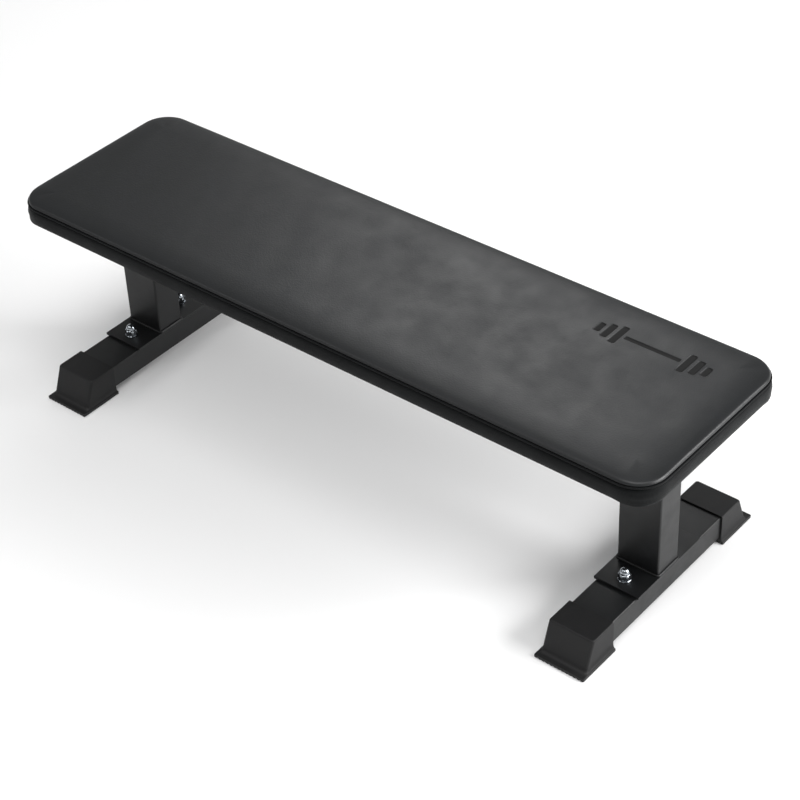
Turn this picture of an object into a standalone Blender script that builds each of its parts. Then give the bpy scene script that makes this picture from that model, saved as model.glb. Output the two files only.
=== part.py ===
"""Flat weight bench: a padded board on a steel rail, two posts and two rubber-booted feet.

Units are metres, +Z is up. +X runs along the pad, and the origin is on the floor
under the middle of the bench. Left is -X, right is +X, front is -Y and rear is +Y.
"""
import math

import bmesh
import bpy
from mathutils import Vector

# ------------------------------------------------------------- driving dimensions
GAP = 0.0003                # clearance between pieces that touch
CUT_OVER = 0.002            # how far a cutter runs past the face it opens

PAD_LENGTH = 1.180
PAD_WIDTH = 0.334
PAD_CORNER = 0.048          # corner radius seen from above
PAD_BASE = 0.300            # floor to the underside of the pad
PAD_RIM = 0.037             # underside of the pad to the top of its rim
PAD_CROWN = 0.004           # rise of the middle above the rim
CROWN_MARGIN = 0.006        # the crown ends this far short of the corner's centre
CROWN_LOOPS = 4
RIM_ROLL = 0.012            # radius of the rolled top edge
ROLL_LOOPS = 3
PANEL_DROP = 0.006          # top of the rim to the lower edge of the top panel
PANEL_LIP = 0.0006          # upright strip along that lower edge
CORNER_STEPS = 8            # facets round one corner of the pad
COVER_SHEET = 0.0012        # thickness of the cover's vinyl
HEM_WIDTH = 0.030           # how far the side band turns in under the board
WELT_RADIUS = 0.0020
WELT_PROUD = 0.0004         # how far the welt stands out of the side
BOARD_THICK = 0.012
DUST_SHEET = 0.0005
DUST_INSET = 0.012          # edge of the pad to the edge of the dust cover

RAIL_WIDTH = 0.050
RAIL_HEIGHT = 0.050
TUBE_WALL = 0.0025          # wall of every steel tube
TUBE_CORNER = 0.003         # outside corner radius of every steel tube
CAP_FLANGE = 0.003
CAP_PLUG = 0.016            # how far an end cap reaches into the rail

POST_WIDTH = 0.070          # along X
POST_DEPTH = 0.050          # along Y
FOOT_INSET = 0.102          # end of the pad to the middle of a foot
PLATE_OVERHANG = 0.003      # how far the base plate stands out on each side of the foot tube
PLATE_LENGTH = 0.156        # along Y
PLATE_THICK = 0.004
PLATE_EDGE = 0.0008         # eased edge of a base plate

FOOT_WIDTH = 0.070          # along X
FOOT_HEIGHT = 0.040
FOOT_LENGTH = 0.362         # length of the steel tube
SOLE_THICK = 0.009          # floor to the underside of the foot tube

BOOT_WALL = 0.003           # the boot's top and side walls, with their clearance
BOOT_END = 0.004            # the boot's end wall
BOOT_COVERS = 0.044         # length of tube inside a boot
BOOT_FLARE = 0.0146         # how far the end wall leans out on its way down
BOOT_CORNER = 0.004
BOOT_EDGE = 0.0025          # rounding of the top edges
LIP_REACH = 0.0145          # the sole's lip, beyond the foot of the end wall
LIP_SIDE = 0.004            # the same lip along the two sides
LIP_THICK = 0.005
LIP_CORNER = 0.002
LIP_RISE = 0.0002           # fall of the lip's top towards its edge
LIP_FILLET = 0.008          # height of the hollow between the lip and the walls
TREAD_PITCH = 0.0065
TREAD_GROOVE = 0.003
TREAD_DEPTH = 0.002

BRACKET_WIDTH = 0.050       # along X
BRACKET_THICK = 0.004
BRACKET_INSET = 0.047       # side of the pad to the end of a bracket
BRACKET_FROM_POST = 0.138   # middle of a foot to the middle of the bracket beside it
PAD_BOLT_FROM_END = 0.027   # end of a bracket to its bolt

FOOT_BOLT = 0.010           # M10 carriage bolt
FOOT_BOLT_LENGTH = 0.060
FOOT_BOLT_FROM_END = 0.021  # end of the base plate to its bolt
CUP_RADIUS = 0.012
CUP_HEIGHT = 0.005
NECK_HEIGHT = 0.004
NUT_ACROSS = 0.017          # M10 dome nut, across its flats
NUT_HEX = 0.009
NUT_HEIGHT = 0.018
NUT_BORE_DEPTH = 0.013
NUT_WASHER_RADIUS = 0.010
NUT_WASHER_THICK = 0.002

PAD_BOLT = 0.008            # M8 hexagon bolt
PAD_BOLT_LENGTH = 0.020
PAD_BOLT_ACROSS = 0.013
PAD_BOLT_HEAD = 0.0053
PAD_WASHER_RADIUS = 0.008
PAD_WASHER_THICK = 0.0016
TEE_BARREL = 0.0052         # outside radius of the T-nut's barrel
TEE_FLANGE = 0.011
TEE_FLANGE_THICK = 0.0015
TEE_LENGTH = 0.009

ROUND_STEPS = 16            # facets round a fastener
TURN_FACETS = 4             # facets of a dome or a rounded edge in a turned profile
TUBE_STEPS = 3              # facets round a corner of a tube or a bracket
PLATE_STEPS = 2             # facets round a corner of a base plate
WELT_FACETS = 2             # facets of a quarter of the welt's section
SMOOTH_ANGLE = math.radians(35)     # a sharper edge than this stays sharp
MERGE_WITHIN = 1e-5         # points of a turned shape this close are one
HOLE_SLACK = 0.0006         # a bolt hole is this much wider than its bolt
CHAMFER = 0.0006            # eased edge of a fastener

# --------------------------------------------------------------- worked-out places
RIM_TOP = PAD_BASE + PAD_RIM
WELT_Z = RIM_TOP - PANEL_DROP - GAP - WELT_RADIUS
WELT_INSET = WELT_RADIUS - WELT_PROUD
HEM_Z = PAD_BASE + DUST_SHEET + GAP             # underside of the turned-in hem
BOARD_Z = HEM_Z + COVER_SHEET + GAP
FOAM_Z = BOARD_Z + BOARD_THICK + GAP
FOAM_INSET = WELT_INSET + WELT_RADIUS + GAP
BOARD_INSET = COVER_SHEET + GAP
CROWN_RUN = PAD_CORNER - RIM_ROLL - CROWN_MARGIN

BRACKET_Z = PAD_BASE - GAP - BRACKET_THICK
RAIL_Z = BRACKET_Z - GAP - RAIL_HEIGHT
FOOT_TOP = SOLE_THICK + FOOT_HEIGHT
PLATE_WIDTH = FOOT_WIDTH + 2 * PLATE_OVERHANG
PLATE_Z = FOOT_TOP + GAP
PLATE_TOP = PLATE_Z + PLATE_THICK
POST_Z = PLATE_TOP + GAP
POST_HEIGHT = RAIL_Z - GAP - POST_Z

FOOT_X = PAD_LENGTH / 2 - FOOT_INSET
RAIL_LENGTH = 2 * FOOT_X + POST_WIDTH
BRACKET_X = FOOT_X - BRACKET_FROM_POST
BRACKET_LENGTH = PAD_WIDTH - 2 * BRACKET_INSET
PAD_BOLT_Y = BRACKET_LENGTH / 2 - PAD_BOLT_FROM_END
FOOT_BOLT_Y = PLATE_LENGTH / 2 - FOOT_BOLT_FROM_END

SIDES = {"left": -1, "right": 1}
ENDS = {"front": -1, "rear": 1}


# ---------------------------------------------------------------- scene and looks
def clear_scene():
    for item in list(bpy.data.objects):
        bpy.data.objects.remove(item, do_unlink=True)


def linear(channel):
    """One sRGB channel, 0 to 1, as the linear value that a shader reads."""
    return channel / 12.92 if channel <= 0.04045 else ((channel + 0.055) / 1.055) ** 2.4


def make_material(name, colour, roughness, metallic=0.0):
    """A Principled material from an sRGB hex colour such as 2e2f30."""
    material = bpy.data.materials.new(name)
    material.use_nodes = True
    shader = material.node_tree.nodes["Principled BSDF"]
    channels = [linear(int(colour[i:i + 2], 16) / 255) for i in (0, 2, 4)]
    shader.inputs["Base Color"].default_value = (*channels, 1.0)
    shader.inputs["Roughness"].default_value = roughness
    shader.inputs["Metallic"].default_value = metallic
    return material


def new_collection(name):
    collection = bpy.data.collections.new(name)
    bpy.context.scene.collection.children.link(collection)
    return collection


clear_scene()
PARTS = new_collection("flat_weight_bench")
CUTTERS = new_collection("cutters")
BENCH = bpy.data.objects.new("bench_frame", None)
PARTS.objects.link(BENCH)

LEATHERETTE = make_material("smooth leatherette", "3a3b3c", 0.42)
BAND_VINYL = make_material("embossed vinyl", "35373a", 0.55)
FOAM = make_material("polyurethane foam", "8f8c80", 0.95)
PLYWOOD = make_material("plywood", "b08a5c", 0.80)
DUST_CLOTH = make_material("non-woven dust cloth", "1c1c1d", 0.95)
POWDER_COAT = make_material("black powder coat", "2b2c2d", 0.50)
RUBBER = make_material("black rubber", "232425", 0.75)
CAP_PLASTIC = make_material("black plastic", "202122", 0.55)
ZINC = make_material("bright zinc plate", "c9cdd0", 0.25, 1.0)


# ------------------------------------------------------------------ shape helpers
def add_part(name, data, material, place=(0, 0, 0), turn=0.0):
    """A finished sub-part, placed in the bench frame and turned about +Z."""
    part = bpy.data.objects.new(name, data)
    data.materials.clear()
    data.materials.append(material)
    part.location = place
    part.rotation_euler.z = turn
    part.parent = BENCH
    PARTS.objects.link(part)
    return part


def add_cutter(name, data, place=(0, 0, 0)):
    """A helper for Boolean cuts and joins, left out of the model itself."""
    cutter = bpy.data.objects.new(name, data)
    cutter.location = place
    cutter.hide_render = True
    cutter.display_type = "WIRE"
    CUTTERS.objects.link(cutter)
    return cutter


def combine(part, cutter, operation="DIFFERENCE"):
    change = part.modifiers.new(cutter.name, "BOOLEAN")
    change.operation = operation
    change.object = cutter
    change.solver = "EXACT"


def solidify(part, thickness):
    """Gives an open surface its thickness, inwards from the face that is modelled."""
    wall = part.modifiers.new("wall", "SOLIDIFY")
    wall.thickness = thickness
    wall.offset = -1.0
    wall.use_even_offset = True


def finish(bm, name, smooth=False):
    """Turns a bmesh into a mesh, with its round stretches shaded smooth."""
    bmesh.ops.recalc_face_normals(bm, faces=bm.faces)
    data = bpy.data.meshes.new(name)
    bm.to_mesh(data)
    bm.free()
    if smooth:
        data.shade_smooth()
        data.set_sharp_from_angle(angle=SMOOTH_ANGLE)
    return data


def box(size, corner=0.0, axis=2, steps=CORNER_STEPS, open_faces=()):
    """A bmesh box standing on Z = 0, its edges along one axis rounded.

    open_faces lists the outward directions whose flat faces are left out.
    """
    bm = bmesh.new()
    bmesh.ops.create_cube(bm, size=1.0)
    bmesh.ops.translate(bm, vec=(0, 0, 0.5), verts=bm.verts)
    bmesh.ops.scale(bm, vec=size, verts=bm.verts)
    if corner > 0:
        along = [e for e in bm.edges if (e.verts[0].co - e.verts[1].co)[axis] != 0]
        bmesh.ops.bevel(bm, geom=along, offset=corner, segments=steps, profile=0.5, affect="EDGES")
    bm.normal_update()
    gone = [f for f in bm.faces if any((f.normal - Vector(way)).length < MERGE_WITHIN for way in open_faces)]
    bmesh.ops.delete(bm, geom=gone, context="FACES")
    return bm


def square_tube(name, size, axis, place):
    """A steel tube along one axis, open at both ends."""
    ways = [[0, 0, 0], [0, 0, 0]]
    ways[0][axis] = 1
    ways[1][axis] = -1
    bm = box(size, TUBE_CORNER, axis, TUBE_STEPS, ways)
    part = add_part(name, finish(bm, name, smooth=True), POWDER_COAT, place)
    solidify(part, TUBE_WALL)
    return part


def arc(centre, radius, start, end, steps=TURN_FACETS):
    """Points along an arc in a turned profile, as (radius, height), angles in degrees."""
    found = []
    for step in range(steps + 1):
        angle = math.radians(start + (end - start) * step / steps)
        across = centre[0] + radius * math.cos(angle)
        found.append((across, centre[1] + radius * math.sin(angle)))
    return found


def turned(name, profile, ring=False):
    """A mesh turned about Z from a profile that runs down its outer side.

    A ring's profile is a closed loop. The others start and end on the axis.
    """
    data = bpy.data.meshes.new(name)
    count = len(profile)
    edges = [(i, i + 1) for i in range(count - 1)]
    if ring:
        edges.append((count - 1, 0))
    data.from_pydata([(across, 0, up) for across, up in profile], edges, [])
    helper = bpy.data.objects.new(name, data)
    CUTTERS.objects.link(helper)
    screw = helper.modifiers.new("turn", "SCREW")
    screw.steps = ROUND_STEPS
    screw.render_steps = ROUND_STEPS
    screw.use_merge_vertices = True
    screw.merge_threshold = MERGE_WITHIN
    graph = bpy.context.evaluated_depsgraph_get()
    made = bpy.data.meshes.new_from_object(helper.evaluated_get(graph))
    bpy.data.objects.remove(helper, do_unlink=True)
    made.shade_smooth()
    made.set_sharp_from_angle(angle=SMOOTH_ANGLE)
    return made


def cylinder(radius, bottom, top):
    bm = bmesh.new()
    bmesh.ops.create_cone(
        bm, cap_ends=True, segments=ROUND_STEPS, radius1=radius, radius2=radius, depth=top - bottom
    )
    bmesh.ops.translate(bm, vec=(0, 0, (top + bottom) / 2), verts=bm.verts)
    return bm


def hexagon(across_flats, bottom, top):
    """A six-sided prism, which trims a turned blank to a spanner's size."""
    bm = bmesh.new()
    corner = across_flats / math.sqrt(3)
    bmesh.ops.create_cone(
        bm, cap_ends=True, segments=6, radius1=corner, radius2=corner, depth=top - bottom
    )
    bmesh.ops.translate(bm, vec=(0, 0, (top + bottom) / 2), verts=bm.verts)
    return bm


# ------------------------------------------------------------------------ the pad
def crowned_block(inset, bottom, rim, first=0.0, open_faces=()):
    """A rounded slab whose top edge rolls over and rises to a flat middle.

    The roll starts at the angle first, in radians up from the horizontal.
    """
    roll = RIM_ROLL - inset
    edge = inset + roll * (1 - math.cos(first))
    size = (PAD_LENGTH - 2 * edge, PAD_WIDTH - 2 * edge, rim - roll * (1 - math.sin(first)) - bottom)
    bm = box(size, PAD_CORNER - edge, 2, CORNER_STEPS, open_faces)
    bmesh.ops.translate(bm, vec=(0, 0, bottom), verts=bm.verts)
    bm.normal_update()
    top = max(bm.faces, key=lambda face: face.calc_center_median().z)
    loops = []
    for step in range(1, ROLL_LOOPS + 1):
        angle = first + (math.pi / 2 - first) * step / ROLL_LOOPS
        inward = roll * (math.cos(first) - math.cos(angle))
        loops.append((inward, roll * (math.sin(angle) - math.sin(first))))
    roll_in, roll_up = loops[-1]
    for step in range(1, CROWN_LOOPS + 1):
        share = step / CROWN_LOOPS
        rise = PAD_CROWN * (1 - (1 - share) ** 2)
        loops.append((roll_in + CROWN_RUN * share, roll_up + rise))
    done = (0.0, 0.0)
    for inward, upward in loops:
        bmesh.ops.inset_region(
            bm, faces=[top], thickness=inward - done[0], depth=upward - done[1], use_even_offset=True
        )
        done = (inward, upward)
    return bm


def build_foam():
    bm = crowned_block(FOAM_INSET, FOAM_Z, RIM_TOP - COVER_SHEET - GAP)
    add_part("pad_foam", finish(bm, "pad_foam", smooth=True), FOAM)


def build_top_panel():
    first = math.asin(1 - (PANEL_DROP - PANEL_LIP) / RIM_ROLL)
    bm = crowned_block(0.0, RIM_TOP - PANEL_DROP, RIM_TOP, first, [(0, 0, -1)])
    part = add_part("cover_top_panel", finish(bm, "cover_top_panel", smooth=True), LEATHERETTE)
    solidify(part, COVER_SHEET)


def rounded_outline(inset, height):
    """Points round the pad's outline, moved in by an inset."""
    radius = PAD_CORNER - inset
    far_x = PAD_LENGTH / 2 - PAD_CORNER
    far_y = PAD_WIDTH / 2 - PAD_CORNER
    points = []
    for quarter, (way_x, way_y) in enumerate(((1, 1), (-1, 1), (-1, -1), (1, -1))):
        for step in range(CORNER_STEPS + 1):
            angle = math.radians(90 * (quarter + step / CORNER_STEPS))
            across = way_x * far_x + radius * math.cos(angle)
            deep = way_y * far_y + radius * math.sin(angle)
            points.append((across, deep, height))
    return points


def build_welt():
    """The piping in the seam, a cord of vinyl that runs all the way round."""
    curve = bpy.data.curves.new("cover_welt", "CURVE")
    curve.dimensions = "3D"
    curve.bevel_depth = WELT_RADIUS
    curve.bevel_resolution = WELT_FACETS
    points = rounded_outline(WELT_INSET, WELT_Z)
    spline = curve.splines.new("POLY")
    spline.points.add(len(points) - 1)
    for point, place in zip(spline.points, points):
        point.co = (*place, 1.0)
    spline.use_cyclic_u = True
    add_part("cover_welt", curve, LEATHERETTE)


def build_side_band():
    """The boxing strip: a wall round the pad, turned in under the board as a hem."""
    top = WELT_Z - WELT_RADIUS - GAP
    bm = box((PAD_LENGTH, PAD_WIDTH, top - HEM_Z), PAD_CORNER, 2, CORNER_STEPS, [(0, 0, 1)])
    bmesh.ops.translate(bm, vec=(0, 0, HEM_Z), verts=bm.verts)
    bm.normal_update()
    under = min(bm.faces, key=lambda face: face.calc_center_median().z)
    bmesh.ops.inset_region(bm, faces=[under], thickness=HEM_WIDTH, use_even_offset=True)
    bmesh.ops.delete(bm, geom=[under], context="FACES")
    part = add_part("cover_side_band", finish(bm, "cover_side_band", smooth=True), BAND_VINYL)
    solidify(part, COVER_SHEET)


def pad_bolt_places():
    """Name and place of each of the four bolts that hold the pad."""
    for side, way_x in SIDES.items():
        for end, way_y in ENDS.items():
            yield f"{side}_{end}", way_x * BRACKET_X, way_y * PAD_BOLT_Y


def build_board():
    size = (PAD_LENGTH - 2 * BOARD_INSET, PAD_WIDTH - 2 * BOARD_INSET, BOARD_THICK)
    data = finish(box(size, PAD_CORNER - BOARD_INSET), "pad_board")
    board = add_part("pad_board", data, PLYWOOD, (0, 0, BOARD_Z))
    top = BOARD_Z + BOARD_THICK
    for name, across, deep in pad_bolt_places():
        bore = cylinder(TEE_BARREL + GAP, BOARD_Z - CUT_OVER, top + CUT_OVER)
        combine(board, add_cutter(f"barrel_hole_{name}", finish(bore, "hole"), (across, deep, 0)))
        seat_floor = top - TEE_FLANGE_THICK - 2 * GAP
        seat = cylinder(TEE_FLANGE + GAP, seat_floor, top + CUT_OVER)
        combine(board, add_cutter(f"flange_seat_{name}", finish(seat, "seat"), (across, deep, 0)))


def build_dust_cover():
    size = (PAD_LENGTH - 2 * DUST_INSET, PAD_WIDTH - 2 * DUST_INSET, DUST_SHEET)
    data = finish(box(size, PAD_CORNER - DUST_INSET), "dust_cover")
    cover = add_part("dust_cover", data, DUST_CLOTH, (0, 0, PAD_BASE))
    for name, across, deep in pad_bolt_places():
        radius = PAD_BOLT / 2 + HOLE_SLACK
        hole = cylinder(radius, PAD_BASE - CUT_OVER, PAD_BASE + CUT_OVER)
        combine(cover, add_cutter(f"cloth_hole_{name}", finish(hole, "hole"), (across, deep, 0)))


# ----------------------------------------------------------------- the pad's bolts
def tee_nut_mesh():
    """A T-nut, its flange up: the bore is plain, at the bolt's size plus a clearance."""
    bore = PAD_BOLT / 2 + GAP
    profile = [
        (TEE_FLANGE, 0),
        (TEE_FLANGE, -TEE_FLANGE_THICK),
        (TEE_BARREL, -TEE_FLANGE_THICK),
        (TEE_BARREL, -TEE_LENGTH),
        (bore, -TEE_LENGTH),
        (bore, 0),
    ]
    return turned("t_nut", profile, ring=True)


def washer_mesh(name, radius, bore, thick):
    profile = [
        (radius - CHAMFER, thick),
        (radius, thick - CHAMFER),
        (radius, 0),
        (bore, 0),
        (bore, thick),
    ]
    return turned(name, profile, ring=True)


def hex_bolt_mesh():
    """An M8 bolt standing on its head: Z = 0 is the underside of the washer face."""
    corner = PAD_BOLT_ACROSS / math.sqrt(3)
    shank = PAD_BOLT / 2
    profile = [
        (0, PAD_BOLT_LENGTH),
        (shank - CHAMFER, PAD_BOLT_LENGTH),
        (shank, PAD_BOLT_LENGTH - CHAMFER),
        (shank, 0),
        (corner, 0),
        (corner, -PAD_BOLT_HEAD + CHAMFER),
        (corner - 2 * CHAMFER, -PAD_BOLT_HEAD),
        (0, -PAD_BOLT_HEAD),
    ]
    return turned("pad_bolt", profile)


def build_pad_fasteners():
    washer_z = BRACKET_Z - GAP - PAD_WASHER_THICK
    bolt_z = washer_z - GAP
    for name, across, deep in pad_bolt_places():
        top = BOARD_Z + BOARD_THICK - GAP
        add_part(f"{name}_t_nut", tee_nut_mesh(), ZINC, (across, deep, top))
        bore = PAD_BOLT / 2 + GAP
        ring = washer_mesh("pad_washer", PAD_WASHER_RADIUS, bore, PAD_WASHER_THICK)
        add_part(f"{name}_pad_washer", ring, ZINC, (across, deep, washer_z))
        bolt = add_part(f"{name}_pad_bolt", hex_bolt_mesh(), ZINC, (across, deep, bolt_z))
        blank = hexagon(PAD_BOLT_ACROSS, -PAD_BOLT_HEAD - CUT_OVER, PAD_BOLT_LENGTH + CUT_OVER)
        flats = add_cutter(f"bolt_flats_{name}", finish(blank, "flats"), (across, deep, bolt_z))
        combine(bolt, flats, "INTERSECT")


# ---------------------------------------------------------------- the steel frame
def build_brackets():
    """Flat steel cross pieces, welded on the rail, that the pad is bolted to."""
    for side, way in SIDES.items():
        size = (BRACKET_WIDTH, BRACKET_LENGTH, BRACKET_THICK)
        data = finish(box(size, TUBE_CORNER, 2, TUBE_STEPS), "pad_bracket")
        place = (way * BRACKET_X, 0, BRACKET_Z)
        bracket = add_part(f"{side}_pad_bracket", data, POWDER_COAT, place)
        for name, across, deep in pad_bolt_places():
            if name.startswith(side):
                radius = (PAD_BOLT + HOLE_SLACK) / 2 + GAP
                hole = cylinder(radius, BRACKET_Z - CUT_OVER, PAD_BASE + CUT_OVER)
                cutter = add_cutter(f"bracket_hole_{name}", finish(hole, "hole"), (across, deep, 0))
                combine(bracket, cutter)


def build_rail():
    square_tube("main_rail", (RAIL_LENGTH, RAIL_WIDTH, RAIL_HEIGHT), 0, (0, 0, RAIL_Z))
    for side, way in SIDES.items():
        add_end_cap(f"{side}_rail_end_cap", way)


def add_end_cap(name, way):
    """A plug with a flange, pushed into the open end of the rail."""
    bm = box((CAP_FLANGE, RAIL_WIDTH, RAIL_HEIGHT), TUBE_CORNER, 0, TUBE_STEPS)
    inner = min(bm.faces, key=lambda face: face.calc_center_median().x)
    bmesh.ops.inset_region(bm, faces=[inner], thickness=TUBE_WALL + GAP, use_even_offset=True)
    plug = bmesh.ops.extrude_discrete_faces(bm, faces=[inner])["faces"][0]
    bmesh.ops.translate(bm, vec=(-CAP_PLUG, 0, 0), verts=plug.verts)
    turn = 0.0 if way > 0 else math.pi
    middle = RAIL_LENGTH / 2 + GAP + CAP_FLANGE / 2
    add_part(name, finish(bm, name, smooth=True), CAP_PLASTIC, (way * middle, 0, RAIL_Z), turn)


def build_posts():
    for side, way in SIDES.items():
        size = (POST_WIDTH, POST_DEPTH, POST_HEIGHT)
        square_tube(f"{side}_post", size, 2, (way * FOOT_X, 0, POST_Z))


def foot_bolt_places(side):
    """Name and place of the two bolts, before and behind a post."""
    for end, way_y in ENDS.items():
        yield f"{side}_{end}", SIDES[side] * FOOT_X, way_y * FOOT_BOLT_Y


def build_feet():
    """The base plates and the cross tubes they lie on, with the holes for their bolts."""
    round_hole = FOOT_BOLT / 2 + HOLE_SLACK / 2
    square_hole = FOOT_BOLT + HOLE_SLACK
    for side, way in SIDES.items():
        place = (way * FOOT_X, 0, PLATE_Z)
        plate_size = (PLATE_WIDTH, PLATE_LENGTH, PLATE_THICK)
        plate_data = finish(box(plate_size, PLATE_EDGE, 2, PLATE_STEPS), "base_plate")
        plate = add_part(f"{side}_base_plate", plate_data, POWDER_COAT, place)
        tube_size = (FOOT_WIDTH, FOOT_LENGTH, FOOT_HEIGHT)
        tube = square_tube(f"{side}_foot_tube", tube_size, 1, (way * FOOT_X, 0, SOLE_THICK))
        for name, across, deep in foot_bolt_places(side):
            hole = cylinder(round_hole, FOOT_TOP - TUBE_WALL - CUT_OVER, PLATE_TOP + CUT_OVER)
            cutter = add_cutter(f"foot_hole_{name}", finish(hole, "hole"), (across, deep, 0))
            combine(plate, cutter)
            combine(tube, cutter)
            slot = box((square_hole, square_hole, TUBE_WALL + 2 * CUT_OVER))
            slot_z = SOLE_THICK - CUT_OVER
            combine(tube, add_cutter(f"neck_hole_{name}", finish(slot, "slot"), (across, deep, slot_z)))


# --------------------------------------------------------------- the feet's bolts
def carriage_bolt_mesh():
    """An M10 carriage bolt: Z = 0 is the flat underside of its domed head."""
    shank = FOOT_BOLT / 2
    dome_radius = (CUP_RADIUS ** 2 + CUP_HEIGHT ** 2) / (2 * CUP_HEIGHT)
    spread = math.degrees(math.asin(CUP_RADIUS / dome_radius))
    dome = arc((0, dome_radius - CUP_HEIGHT), dome_radius, -90 + spread, -90)
    profile = [
        (0, FOOT_BOLT_LENGTH),
        (shank - 2 * CHAMFER, FOOT_BOLT_LENGTH),
        (shank, FOOT_BOLT_LENGTH - 2 * CHAMFER),
        (shank, 0),
    ]
    return turned("foot_bolt", profile + dome)


def dome_nut_mesh():
    """An M10 dome nut standing on its seat, its bore ending in a drill point."""
    corner = NUT_ACROSS / math.sqrt(3)
    dome = NUT_ACROSS / 2 - CHAMFER
    bore = FOOT_BOLT / 2 + GAP
    drill_point = bore / 2
    top = arc((0, NUT_HEIGHT - dome), dome, 90, 0, 2 * TURN_FACETS)
    top[0] = (0, NUT_HEIGHT)
    profile = top + [
        (dome, NUT_HEX),
        (corner, NUT_HEX - 2 * CHAMFER),
        (corner, CHAMFER),
        (corner - 2 * CHAMFER, 0),
        (bore, 0),
        (bore, NUT_BORE_DEPTH),
        (0, NUT_BORE_DEPTH + drill_point),
    ]
    return turned("dome_nut", profile)


def build_foot_fasteners():
    washer_z = PLATE_TOP + GAP
    nut_z = washer_z + NUT_WASHER_THICK + GAP
    bolt_z = SOLE_THICK - GAP
    for side in SIDES:
        for name, across, deep in foot_bolt_places(side):
            bolt = add_part(f"{name}_foot_bolt", carriage_bolt_mesh(), ZINC, (across, deep, bolt_z))
            neck = box((FOOT_BOLT, FOOT_BOLT, NECK_HEIGHT + CUP_HEIGHT / 2))
            neck_z = bolt_z - CUP_HEIGHT / 2
            cutter = add_cutter(f"bolt_neck_{name}", finish(neck, "neck"), (across, deep, neck_z))
            combine(bolt, cutter, "UNION")
            bore = FOOT_BOLT / 2 + GAP
            ring = washer_mesh("nut_washer", NUT_WASHER_RADIUS, bore, NUT_WASHER_THICK)
            add_part(f"{name}_nut_washer", ring, ZINC, (across, deep, washer_z))
            nut = add_part(f"{name}_dome_nut", dome_nut_mesh(), ZINC, (across, deep, nut_z))
            blank = hexagon(NUT_ACROSS, -CUT_OVER, NUT_HEIGHT + CUT_OVER)
            flats = add_cutter(f"nut_flats_{name}", finish(blank, "flats"), (across, deep, nut_z))
            combine(nut, flats, "INTERSECT")


# ----------------------------------------------------------------- the foot boots
def boot_sections():
    """Level, end reach, side reach and corner radius of a boot's outline, from the floor up."""
    top = SOLE_THICK + FOOT_HEIGHT + BOOT_WALL
    wall_foot = LIP_THICK + LIP_RISE + LIP_FILLET
    lip_end = BOOT_FLARE + LIP_REACH
    yield 0.0, lip_end - CHAMFER, LIP_SIDE - CHAMFER, LIP_CORNER
    yield CHAMFER, lip_end, LIP_SIDE, LIP_CORNER
    yield LIP_THICK - CHAMFER, lip_end, LIP_SIDE, LIP_CORNER
    yield LIP_THICK, lip_end - CHAMFER, LIP_SIDE - CHAMFER, LIP_CORNER
    for step in range(TURN_FACETS + 1):
        angle = math.radians(90 * step / TURN_FACETS)
        out = 1 - math.sin(angle)
        level = LIP_THICK + LIP_RISE + LIP_FILLET * (1 - math.cos(angle))
        side_out = (LIP_SIDE - 2 * CHAMFER) * out
        yield level, BOOT_FLARE + LIP_FILLET * out, side_out, BOOT_CORNER
    for step in range(TURN_FACETS + 1):
        angle = math.radians(90 * step / TURN_FACETS)
        level = top - BOOT_EDGE * (1 - math.sin(angle))
        lean = BOOT_FLARE * (top - level) / (top - wall_foot)
        inward = BOOT_EDGE * (1 - math.cos(angle))
        yield level, lean - inward, -inward, BOOT_CORNER


def boot_outline(level, end_reach, side_reach, corner):
    """One section of a boot, open side first: square there, rounded at the outer end."""
    half = FOOT_WIDTH / 2 + BOOT_WALL + side_reach
    outer = -(BOOT_END + end_reach)
    points = [(half, BOOT_COVERS, level)]
    for way, first in ((1, 0), (-1, 90)):
        for step in range(TURN_FACETS + 1):
            angle = math.radians(first + 90 * step / TURN_FACETS)
            across = way * (half - corner) + corner * math.cos(angle)
            points.append((across, outer + corner - corner * math.sin(angle), level))
    points.append((-half, BOOT_COVERS, level))
    return points


def boot_mesh():
    """A boot lofted through its sections. Y = 0 is the end of the steel tube inside."""
    bm = bmesh.new()
    rings = []
    for section in boot_sections():
        rings.append([bm.verts.new(point) for point in boot_outline(*section)])
    for lower, upper in zip(rings, rings[1:]):
        for step in range(len(lower)):
            after = (step + 1) % len(lower)
            bm.faces.new((lower[step], lower[after], upper[after], upper[step]))
    bm.faces.new(rings[0])
    bm.faces.new(rings[-1])
    return finish(bm, "foot_boot", smooth=True)


def tread_mesh():
    """The grooves that part the sole's ribs, with one rib on the middle line."""
    reach = FOOT_WIDTH / 2 + BOOT_WALL + LIP_SIDE
    pairs = int((reach - TREAD_GROOVE / 2) / TREAD_PITCH + 0.5)
    length = BOOT_COVERS + BOOT_END + BOOT_FLARE + LIP_REACH + 2 * CUT_OVER
    middle = BOOT_COVERS + CUT_OVER - length / 2
    bm = bmesh.new()
    for pair in range(pairs):
        for way in (-1, 1):
            groove = box((TREAD_GROOVE, length, TREAD_DEPTH + CUT_OVER))
            place = (way * (pair + 0.5) * TREAD_PITCH, middle, -CUT_OVER)
            bmesh.ops.translate(groove, vec=place, verts=groove.verts)
            data = bpy.data.meshes.new("groove")
            groove.to_mesh(data)
            groove.free()
            bm.from_mesh(data)
    return finish(bm, "tread")


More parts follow.
